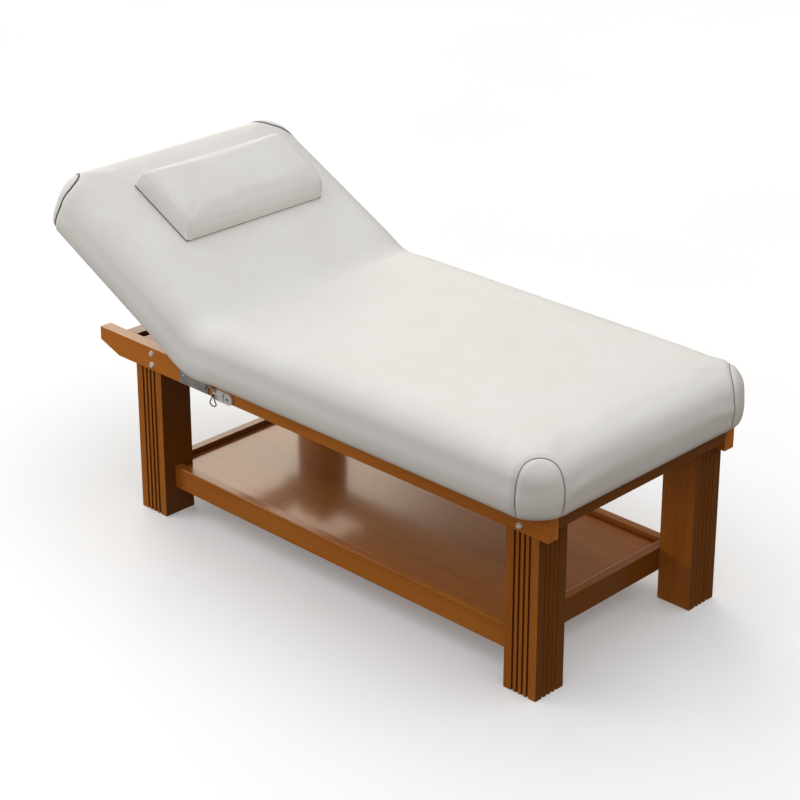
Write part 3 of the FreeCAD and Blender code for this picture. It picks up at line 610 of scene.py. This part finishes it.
def along(places, steps=10):
    """Points on a smooth curve through the given places."""
    p = np.array([places[0]] + list(places) + [places[-1]], float)
    curve = []
    for a, b, c, d in zip(p, p[1:], p[2:], p[3:]):
        square, cube = 2 * a - 5 * b + 4 * c - d, 3 * b - 3 * c + d - a
        for t in np.linspace(0.0, 1.0, steps, endpoint=False):
            curve.append(b + 0.5 * t * (c - a + t * (square + t * cube)))
    return np.array(curve + [p[-1]])


def laid_on(skin, path):
    """The path moved onto a surface, and the outward direction at each of its points."""
    found = [skin.find_nearest(Vector(p))[:2] for p in path]
    return np.array([f[0] for f in found]), np.array([f[1] for f in found])


# %% [markdown]
# The skin is drawn in along the path and swells to a small lip on both sides. A thin welt lies in the
# groove, a cord of round sections that thins out towards its ends.

# %% Seams and welts
SEAM_REACH = 6
LIP_SHARE = 0.35
LIP_PLACE = 2.6
LIP_WIDTH = 1.4
WELT_SIDES = 8
WELT_TIP = 0.35
WELT_TAPER = 6.0


def lofted(name, sections):
    """A closed mesh through sections of equal length."""
    mesh = bmesh.new()
    rings = [[mesh.verts.new(p) for p in section] for section in sections]
    for a, b in zip(rings, rings[1:]):
        for k in range(len(a)):
            n = (k + 1) % len(a)
            mesh.faces.new((a[n], a[k], b[k], b[n]))
    mesh.faces.new(rings[0])
    mesh.faces.new(list(reversed(rings[-1])))
    bmesh.ops.recalc_face_normals(mesh, faces=mesh.faces)
    return solid(name, mesh)


def drawn_in(piece, path, depth, width):
    """Draws the skin in along a path, and lets it swell a little on both sides."""
    points = points_of(piece)
    out = np.zeros(points.size)
    piece.data.vertices.foreach_get("normal", out)
    out = out.reshape(-1, 3)
    reach = SEAM_REACH * width
    inside_box = (points > path.min(0) - reach) & (points < path.max(0) + reach)
    near = np.nonzero(inside_box.all(1))[0]
    gap = np.linalg.norm(points[near][:, None] - path[None], axis=2).min(1) / width
    lip = LIP_SHARE * np.exp(-((gap - LIP_PLACE) / LIP_WIDTH) ** 2)
    points[near] -= out[near] * (depth * (np.exp(-gap ** 2) - lip))[:, None]
    place_points(piece, points)


def welt(name, path, out, radius, skin):
    """A thin cord along a path that thins out towards its ends."""
    run = np.gradient(path, axis=0)
    side = np.cross(run, out)
    side /= np.linalg.norm(side, axis=1)[:, None]
    turns = [math.tau * j / WELT_SIDES for j in range(WELT_SIDES)]
    sections = []
    for k, (p, n, s) in enumerate(zip(path, out, side)):
        from_end = min(k, len(path) - 1 - k) / len(path)
        thick = radius * min(1.0, WELT_TIP + WELT_TAPER * from_end)
        sections.append([p + thick * (math.cos(a) * n + math.sin(a) * s) for a in turns])
    made = lofted(name, sections)
    made.data.materials.append(skin)
    return made


# %% [markdown]
# A welted seam crosses each corner of the cover: up the long side, over the roll and down the end. Seen
# from above, each is a quarter of an ellipse about the corner, cut flatter at the far side. How far it
# reaches along the side and the end was measured on the photograph, corner by corner. The welt is a real
# cord, and its dark colour is painted shadow in the seam; at the head end it is thicker and darker,
# painting the deeper shadow of the gap there.

# %% Sew the corners of the cover
CORNERS = {"foot_near": (foot_x, -half_pad, 0.080, 0.083, 1.0),
           "foot_far": (foot_x, half_pad, 0.090, 0.106, 1.5),
           "head_near": (head_x, -half_pad, 0.066, 0.088, 1.0),
           "head_far": (head_x, half_pad, 0.110, 0.115, 1.5)}
# Painted shadow: the cords are dark grey at the foot corners and near black at the head corners, for the shade in
# the seams.
CORNER_CORDS = {"head": (0.0022, gap_shadow_welt), "foot": (0.0012, seam_shadow_welt)}
SEAM_RISES = (0.008, 0.025, 0.045, 0.065, 0.085)
SEAM_TURNS = (16, 26, 38, 50, 62, 74)
SEAM_DEPTH = 0.0024
SEAM_WIDTH = 0.0055
ABOVE = 0.1


def corner_seam(skin, end, side, end_reach, side_reach, bow):
    """Places where a seam over one corner meets the skin."""
    into_x = math.copysign(1.0, (foot_x + head_x) / 2 - end)
    into_y = -math.copysign(1.0, side)
    rays = []
    for rise in SEAM_RISES:
        rays.append(((end + into_x * end_reach, side - into_y, pad_floor + rise), (0.0, into_y, 0.0)))
    for turn in SEAM_TURNS:
        a = math.radians(turn)
        x = end + into_x * end_reach * math.cos(a) ** bow
        y = side + into_y * side_reach * math.sin(a) ** bow
        rays.append(((x, y, seat_high[2] + ABOVE), (0.0, 0.0, -1.0)))
    for rise in reversed(SEAM_RISES):
        rays.append(((end - into_x, side + into_y * side_reach, pad_floor + rise), (into_x, 0.0, 0.0)))
    return [skin.ray_cast(Vector(start), Vector(way))[0] for start, way in rays]


cover_surface = surface_of(cover)
corner_welts = {}
for label, corner in CORNERS.items():
    radius, skin = CORNER_CORDS[label.split("_")[0]]
    path, out = laid_on(cover_surface, along(corner_seam(cover_surface, *corner)))
    drawn_in(cover, path, SEAM_DEPTH, SEAM_WIDTH)
    sunk = path - out * (SEAM_DEPTH - 0.5 * radius)
    corner_welts[label] = welt("corner_welt_" + label, sunk, out, radius, skin)
print("corner welts", sorted(corner_welts))

# %% [markdown]
# The fold: each slice across the bed turns about the hinge line by its own share of the tilt. The share
# goes smoothly from nothing on the seat to the whole tilt on the back, so that the top makes the soft
# hollow of the photograph. A little foam is pushed up in the hollow.

# %% Fold the cover
FOLD_WIDTH = 0.26
FOLD_FILL = 0.006


def fold_share(x):
    t = np.clip(0.5 - (x - hinge[0]) / FOLD_WIDTH, 0.0, 1.0)
    return t * t * (3.0 - 2.0 * t)


def folded(points):
    share = fold_share(points[:, 0])
    height = np.clip((points[:, 2] - pad_floor) / pad_flat, 0.0, 1.0)
    raised = points.copy()
    raised[:, 2] += FOLD_FILL * 4.0 * share * (1.0 - share) * height
    return turned(raised, REST_TILT * share)


for piece in [cover] + list(corner_welts.values()):
    place_points(piece, folded(points_of(piece)))
    smooth_faces(piece)
cover.data.materials.append(cover_skin)
print("cover", points_of(cover).min(0).round(3), points_of(cover).max(0).round(3))

# %% [markdown]
# The head pillow is a low block of foam in the same leatherette: flat below, upright on its head side,
# rolled over on its foot side, and closed by a sewn panel at each end. It is drawn as one outline, set
# out again and again along its length and drawn in a little near both ends. A point of the outline is a
# share of the half width, an offset in metres and a share of the height.

# %% Pillow outline
PILLOW_DRAW = 0.004
PILLOW_ENDS = ((0.0, 1.0), (0.004, 0.55), (0.010, 0.28), (0.022, 0.10), (0.05, 0.0), (0.15, 0.0), (0.3, 0.0))
PILLOW_BASE = ((-1.0, 0.0, 0.0), (-0.5, 0.0, 0.0), (0.0, 0.0, 0.0), (0.5, 0.0, 0.0))
PILLOW_FOOT_SIDE = ((1.0, 0.0, 0.0), (1.0, -0.003, 0.22), (1.0, -0.009, 0.45), (1.0, -0.019, 0.69),
                    (1.0, -0.031, 0.82), (1.0, -0.048, 0.905))
PILLOW_TOP = ((0.45, 0.0, 0.965), (0.2, 0.0, 0.99), (0.0, 0.0, 1.0), (-0.3, 0.0, 0.985), (-0.6, 0.0, 0.95))
PILLOW_HEAD_SIDE = ((-1.0, 0.020, 0.915), (-1.0, 0.009, 0.86), (-1.0, 0.004, 0.76), (-1.0, 0.001, 0.5),
                    (-1.0, 0.0, 0.25))
OUTLINE = PILLOW_BASE + PILLOW_FOOT_SIDE + PILLOW_TOP + PILLOW_HEAD_SIDE


def pillow_sections():
    """The pillow's outline at each place along its length."""
    middle = (pillow_low + pillow_high) / 2
    half = (pillow_high[0] - pillow_low[0]) / 2
    height = pillow_high[2] - pillow_low[2]
    length = pillow_high[1] - pillow_low[1]
    places = list(PILLOW_ENDS) + [(1.0 - place, draw) for place, draw in reversed(PILLOW_ENDS)]
    sections = []
    for place, draw in places:
        pull = PILLOW_DRAW * draw
        y = pillow_low[1] + length * place
        sections.append([(middle[0] + side * (half - pull) + run, y, pillow_low[2] + rise * (height - pull))
                         for side, run, rise in OUTLINE])
    return sections


print("pillow outline", len(OUTLINE), "points")

# %% [markdown]
# The pillow is blown up as the cover was, with a finer mesh and a smaller cap. Its top leans a little to
# the far side.

# %% Blow up the pillow
PILLOW_VOXEL = 0.005
PILLOW_HELD = 0.004
PILLOW_FADE = 0.012
PILLOW_PRESSURE = 2.0
PILLOW_CAP = 0.003
PILLOW_PASSES = 4
PILLOW_LEAN = 0.012


def leaned(points):
    """Points of the pillow moved to the far side by their height, as a soft block sags."""
    p = np.array(points, float)
    p[:, 1] += PILLOW_LEAN * (p[:, 2] - pillow_low[2]) / (pillow_high[2] - pillow_low[2])
    return p


pillow = remeshed(lofted("head_cushion", pillow_sections()), PILLOW_VOXEL)
held = held_below(pillow, pillow_low[2] + PILLOW_HELD, PILLOW_FADE)
subdivided(blown_up(pillow, held, PILLOW_PRESSURE, PILLOW_CAP), PILLOW_PASSES)
fitted(pillow, pillow_low, pillow_high)
place_points(pillow, leaned(points_of(pillow)))
print("pillow points", len(points_of(pillow)))

# %% [markdown]
# The pillow's end panels are sewn in, and a dark welt runs round the foot of the block, painting the
# shadow where the pillow sits on the cover. The outline of the pillow, from its foot side over the top,
# gives the path of the end seams, and a rounded rectangle that of the bottom welt.

# %% Sew the pillow
PANEL_INSET = 0.007
PANEL_DEPTH = 0.0012
PANEL_WIDTH = 0.0035
PANEL_CORD = 0.0008
PANEL_POINTS = slice(4, 17)
BASE_CORNER = 0.012
BASE_CORD = 0.0011
BASE_LIFT = 0.0015
pillow_surface = surface_of(pillow)
panel_line = [(x, z) for x, _, z in pillow_sections()[len(PILLOW_ENDS)][PANEL_POINTS]]
pillow_welts = []
for label, y in (("near", pillow_low[1] + PANEL_INSET), ("far", pillow_high[1] - PANEL_INSET)):
    path, out = laid_on(pillow_surface, along(leaned([(x, y, z) for x, z in panel_line])))
    drawn_in(pillow, path, PANEL_DEPTH, PANEL_WIDTH)
    sunk = path - out * PANEL_CORD
    pillow_welts.append(welt("pillow_panel_welt_" + label, sunk, out, PANEL_CORD, cover_skin))
edge = rounded_outline(pillow_low[0], pillow_high[0], pillow_low[1], pillow_high[1], BASE_CORNER, steps=6)
ring = along([(x, y, pillow_low[2] + BASE_LIFT) for x, y in edge + edge[:1]])
path, out = laid_on(pillow_surface, ring)
# Painted shadow: a near black cord round the foot of the pillow, where it meets the cover.
pillow_welts.append(welt("pillow_foot_shadow_welt", path, out, BASE_CORD, gap_shadow_welt))
for piece in [pillow] + pillow_welts:
    place_points(piece, turned(points_of(piece), REST_TILT))
    smooth_faces(piece)
pillow.data.materials.append(cover_skin)
print("pillow welts", len(pillow_welts))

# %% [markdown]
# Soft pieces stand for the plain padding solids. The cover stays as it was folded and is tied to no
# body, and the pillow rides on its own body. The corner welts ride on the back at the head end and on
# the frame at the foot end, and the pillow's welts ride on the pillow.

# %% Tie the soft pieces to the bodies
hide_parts("seat_pad", "back_pad")
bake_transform(cover)
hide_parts("head_pillow")
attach(pillow, "pillow")
for piece in pillow_welts:
    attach(piece, "pillow")
for label, piece in corner_welts.items():
    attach(piece, "back" if label.startswith("head") else "frame")
print("soft pieces tied")

# %% [markdown]
# A plain pale floor takes shadows, and doesn't throw its own white up at the wood. A round pale wall closes
# the view of a low camera. It is only seen, and neither lights nor shades the bed.

# %% Stage
FLOOR_HALF = 60.0
FLOOR_DROP = 0.0005
FLOOR_GLOW = 0.14
WALL_RADIUS = 16.0
WALL_HEIGHT = 14.0
WALL_SIDES = 96
WALL_GLOW = 0.72
STAGE_SHADE = (0.90, 0.90, 0.90, 1.0)
STAGE_LIGHT = (0.93, 0.93, 0.93, 1.0)


def stage_piece(piece, glow):
    """Gives a piece of the stage a pale finish, and keeps its own light off the bed."""
    constants = {"Roughness": 0.8, "Specular IOR Level": 0.1, "Emission Color": STAGE_LIGHT,
                 "Emission Strength": glow}
    material, shader, place = finish(piece.name, constants)
    cloud = place.noise(scale=0.8, detail=2.0)
    feed(shader, Base_Color=cloud.between(0.3, 0.7).mixed(STAGE_SHADE, STAGE_LIGHT))
    piece.data.materials.append(material)
    piece.visible_diffuse = False
    piece.visible_glossy = False


ground = bmesh.new()
bmesh.ops.create_grid(ground, x_segments=2, y_segments=2, size=FLOOR_HALF)
floor = solid("studio_floor", ground)
floor.location.z = -FLOOR_DROP
stage_piece(floor, FLOOR_GLOW)
round_wall = bmesh.new()
bmesh.ops.create_cone(round_wall, segments=WALL_SIDES, radius1=WALL_RADIUS, radius2=WALL_RADIUS,
                      depth=WALL_HEIGHT, cap_ends=False)
wall = solid("studio_wall", round_wall)
wall.location.z = WALL_HEIGHT / 2
wall.visible_shadow = False
stage_piece(wall, WALL_GLOW)
print("stage", floor.name, wall.name)

# %% [markdown]
# A white studio sky does nearly all of the lighting: bright from above and from a low warm wall beyond the
# far head corner, which the lacquered shelf mirrors, dimmer at the sides, and dark below the horizon. One
# soft lamp on the near side, at the head end, fills the shade.

# %% Light
SKY_NEAR = (0.51, 0.505, 0.495, 1.0)
SKY_FAR = (0.06, 0.058, 0.055, 1.0)
SKY_FOOT = (0.62, 0.60, 0.57, 1.0)
SKY_WALL = (3.15, 2.85, 2.35, 1.0)
SKY_HIGH_HEAD = (1.15, 1.165, 1.19, 1.0)
SKY_HIGH_FOOT = (1.10, 1.11, 1.125, 1.0)
SKY_BELOW = (0.125, 0.098, 0.072, 1.0)
SKY_STRENGTH = 0.95
LAMP_PLACE = Vector((-2.6, -2.4, 0.8))
LAMP_TARGET = Vector((-0.4, 0.0, 0.2))
LAMP_SIZE = 1.6
LAMP_POWER = 26.0


def studio_sky():
    world = bpy.data.worlds.new("studio_sky")
    bpy.context.scene.world = world
    world.use_nodes = True
    background = world.node_tree.nodes["Background"]
    way = Flow(world.node_tree).node("ShaderNodeTexCoord", out=SKY_WAY)
    towards_foot, towards_far, height = way.part(0), way.part(1), way.part(2)
    side_sky = towards_far.between(0.1, 0.5).mixed(SKY_NEAR, SKY_FAR)
    side_sky = towards_foot.between(0.2, 0.7).mixed(side_sky, SKY_FOOT)
    head_sky = towards_far.between(0.0, 0.3).mixed(side_sky, SKY_WALL)
    low_sky = towards_foot.between(-0.640, -0.600).mixed(head_sky, side_sky)
    high_sky = towards_foot.between(-0.3, 0.9).mixed(SKY_HIGH_HEAD, SKY_HIGH_FOOT)
    sky = height.between(0.48, 0.68).mixed(low_sky, high_sky)
    colour = height.between(-0.06, 0.06).mixed(SKY_BELOW, sky)
    world.node_tree.links.new(colour.socket, background.inputs["Color"])
    background.inputs["Strength"].default_value = SKY_STRENGTH


studio_sky()
lamp_data = bpy.data.lights.new("near_fill", "AREA")
lamp_data.shape = "SQUARE"
lamp_data.size = LAMP_SIZE
lamp_data.energy = LAMP_POWER
lamp = bpy.data.objects.new("near_fill", lamp_data)
lamp.location = LAMP_PLACE
lamp.rotation_euler = (LAMP_TARGET - LAMP_PLACE).to_track_quat("-Z", "Y").to_euler()
bpy.context.scene.collection.objects.link(lamp)
bpy.context.scene.view_settings.view_transform = "Standard"
print("light", bpy.context.scene.world.name, lamp.name)

# %% [markdown]
# The camera stands where the photograph was taken from, near the foot on the near side. Its focal length,
# height and shift were fitted to the edges of the legs and rails.

# %% Camera
AZIMUTH, ELEVATION = math.radians(44.25), math.radians(21.61)
AIM = Vector((0.0567, 0.0, 0.7258))
DISTANCE = 5.436
SENSOR, LENS, SHIFT = 36.0, 99.40, -0.15
level = math.cos(ELEVATION)
back_way = Vector((math.sin(AZIMUTH) * level, -math.cos(AZIMUTH) * level, math.sin(ELEVATION)))
camera_data = bpy.data.cameras.new("photo_camera")
camera_data.sensor_width = SENSOR
camera_data.lens = LENS
camera_data.shift_y = SHIFT
camera = bpy.data.objects.new("photo_camera", camera_data)
camera.location = AIM + back_way * DISTANCE
camera.rotation_euler = (-back_way).to_track_quat("-Z", "Y").to_euler()
bpy.context.scene.collection.objects.link(camera)
bpy.context.scene.camera = camera
print("camera", [round(v, 3) for v in camera.location])
